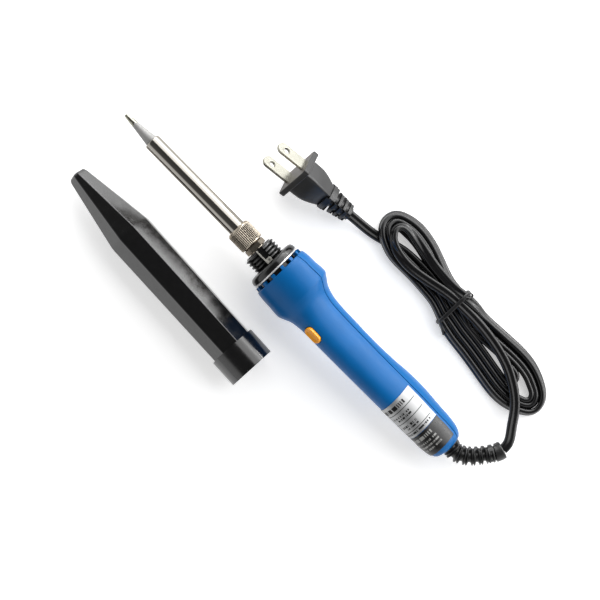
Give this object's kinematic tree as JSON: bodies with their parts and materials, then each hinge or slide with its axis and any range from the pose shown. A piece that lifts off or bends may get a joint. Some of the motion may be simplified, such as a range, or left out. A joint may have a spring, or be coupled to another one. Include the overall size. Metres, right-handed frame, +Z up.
{
  "type": "soldering iron",
  "caption": "Mains soldering iron: steel barrel and conical tip, blue two-shell handle with an orange boost button, coiled cord with a two-pin plug, and a loose tapered tip cap.",
  "frame": {"origin": "centre of the footprint of the iron and its loose cap, on the table they lie on", "axes": "+X from the tip towards the cord end of the handle, +Y towards the coiled cord, +Z up from the table"},
  "size_m": [0.2435, 0.1194, 0.0313],
  "materials": {
    "plated_tip": "matt iron plating, tinned point",
    "polished_steel": "polished",
    "nickel_plate": "satin nickel",
    "heater_ceramic": "matt",
    "black_phenolic": "glossy",
    "bright_ring": "polished",
    "blue_plastic": "satin moulded",
    "silver_label": "satin foil with dark rules",
    "black_label": "satin, pale bars",
    "orange_plastic": "satin",
    "red_plastic": "moulded",
    "black_plastic": "moulded",
    "board_laminate": "lacquered laminate",
    "white_sleeving": "braided glass sleeve",
    "wire_sheath": "smooth",
    "tinned_copper": "tinned",
    "cord_sheath": "satin vinyl",
    "guard_rubber": "satin rubber",
    "tie_sheath": "satin",
    "plug_vinyl": "satin vinyl",
    "blade_nickel": "bright nickel",
    "cap_plastic": "glossy"
  },
  "bodies": {
    "iron": {"threaded_bush": "nickel_plate", "ceramic_heater": "heater_ceramic", "nose_insulator": "black_phenolic", "earth_strip": "nickel_plate", "retaining_ring": "bright_ring", "bush_retainer": "polished_steel", "handle_top_shell": "blue_plastic", "handle_bottom_shell": "blue_plastic", "rating_plate": "silver_label", "caution_plate": "black_label", "button_spring": "polished_steel", "switch_body": "black_plastic", "circuit_board": "board_laminate", "rectifier_diode": "black_plastic", "shell_screw_1": "polished_steel", "shell_screw_2": "polished_steel", "heater_lead_1": "white_sleeving", "heater_lead_2": "white_sleeving", "supply_wire_1": "wire_sheath", "supply_wire_2": "wire_sheath", "crimp_sleeve_1": "tinned_copper", "crimp_sleeve_2": "tinned_copper", "cord_core_1": "wire_sheath", "cord_core_2": "wire_sheath", "clamp_screw_1": "polished_steel", "clamp_screw_2": "polished_steel", "cord_clamp": "black_plastic", "cord_inside": "cord_sheath", "cord_guard": "guard_rubber", "cord_lead": "cord_sheath", "cord_hank": "cord_sheath", "cord_tie": "tie_sheath", "cord_tail": "cord_sheath", "plug_body": "plug_vinyl", "plug_blade_1": "blade_nickel", "plug_blade_2": "blade_nickel"},
    "barrel": {"barrel_tube": "polished_steel", "soldering_tip": "plated_tip"},
    "nut": {"barrel_nut": "nickel_plate"},
    "button": {"boost_button": "orange_plastic"},
    "plunger": {"switch_plunger": "red_plastic"},
    "cap": {"tip_cap": "cap_plastic"}
  },
  "joints": [
    {"name": "nut_turn", "type": "hinge", "parent": "barrel", "child": "nut", "pos_m": [-0.03078, 0.0192, 0.01833], "axis": [-0.9978, 0, 0.0668], "range_deg": [0, 2880]},
    {"name": "barrel_slide", "type": "slide", "parent": "iron", "child": "barrel", "axis": [-0.9978, 0, 0.0668], "range_m": [0, 0.008]},
    {"name": "button_slide", "type": "slide", "parent": "iron", "child": "button", "axis": [-0.0464, 0.7193, -0.6931], "range_m": [0, 0.0012], "stiffness_N_per_m": 600, "springref_m": -0.0008, "deforming": ["button_spring"]},
    {"name": "plunger_slide", "type": "slide", "parent": "iron", "child": "plunger", "axis": [-0.0464, 0.7193, -0.6931], "range_m": [0, 0.0012]},
    {"name": "cap_slide", "type": "slide", "parent": "iron", "child": "cap", "axis": [-0.9992, 0.0401, 0], "range_m": [0, 0.13]}
  ],
  "couplings": [
    {"joint": "nut_turn", "follows": "barrel_slide", "rad_per_m": 6283.2},
    {"joint": "plunger_slide", "follows": "button_slide", "ratio": 1}
  ]
}
